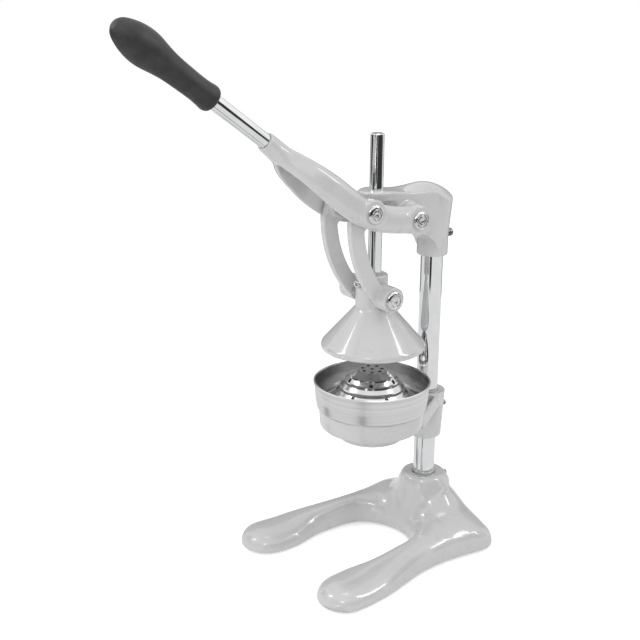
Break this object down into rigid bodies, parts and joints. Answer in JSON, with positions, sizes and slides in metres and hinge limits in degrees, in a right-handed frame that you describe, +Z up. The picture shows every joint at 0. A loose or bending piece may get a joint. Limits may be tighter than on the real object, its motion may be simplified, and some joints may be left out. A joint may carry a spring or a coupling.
{
  "type": "lever citrus juice press",
  "caption": "Free-standing lever citrus press: horseshoe base, column, lever yoke driving a conical bell through curved links onto a stepped strainer in a juice bowl.",
  "frame": {"origin": "on the table plane, under the middle of the bounding box seen from above", "axes": "+Z up along the column, -Y towards the hand grip and the open side of the base, +X to the side that the picture shows nearer"},
  "size_m": [0.1844, 0.377, 0.5308],
  "materials": {
    "grey_paint": "gloss",
    "chrome": "polished",
    "stainless": "brushed",
    "polished_stainless": "polished",
    "bright_fastener": "polished",
    "dark_steel": "satin",
    "black_grip": "matte",
    "black_rubber": "matte"
  },
  "bodies": {
    "stand": {"base": "grey_paint", "base_feet": "black_rubber", "base_set_screw": "dark_steel", "column": "chrome", "top_bracket": "grey_paint", "bracket_set_screw": "dark_steel", "lever_pivot_pin": "bright_fastener", "lever_pivot_washers": "bright_fastener", "lever_pivot_nut": "bright_fastener"},
    "holder": {"bowl_holder": "grey_paint", "holder_set_screw": "dark_steel"},
    "bowl": {"juice_bowl": "stainless"},
    "strainer": {"strainer_cone": "polished_stainless"},
    "press": {"press_bell": "grey_paint", "guide_rod": "chrome", "rod_set_screw": "bright_fastener", "link_pivot_bolts": "bright_fastener", "link_washers": "bright_fastener"},
    "links": {"link_near": "grey_paint", "link_far": "grey_paint"},
    "lever": {"lever_yoke": "grey_paint", "lever_tube": "chrome", "hand_grip": "black_grip", "crank_pin": "bright_fastener", "crank_pin_washers": "bright_fastener", "crank_pin_nut": "bright_fastener"}
  },
  "joints": [
    {"name": "lever_hinge", "type": "hinge", "parent": "stand", "child": "lever", "pos_m": [0, 0.09653, 0.346], "axis": [-1, 0, 0], "range_deg": [-52, 8]},
    {"name": "press_slide", "type": "slide", "parent": "stand", "child": "press", "axis": [0, 0, 1], "range_m": [-0.0502, 0.0079]},
    {"name": "link_swing", "type": "hinge", "parent": "press", "child": "links", "pos_m": [0, 0.06853, 0.2735], "axis": [-1, 0, 0], "range_deg": [-0.8, 4.9]},
    {"name": "holder_height", "type": "slide", "parent": "stand", "child": "holder", "axis": [0, 0, 1], "range_m": [-0.035, 0]},
    {"name": "bowl_lift", "type": "slide", "parent": "holder", "child": "bowl", "axis": [0, 0, 1], "range_m": [0, 0.003]},
    {"name": "strainer_lift", "type": "slide", "parent": "bowl", "child": "strainer", "axis": [0, 0, 1], "range_m": [0, 0.002]}
  ],
  "couplings": [
    {"joint": "press_slide", "follows": "lever_hinge", "m_per_rad": 0.05513},
    {"joint": "link_swing", "follows": "lever_hinge", "ratio": -0.092}
  ]
}
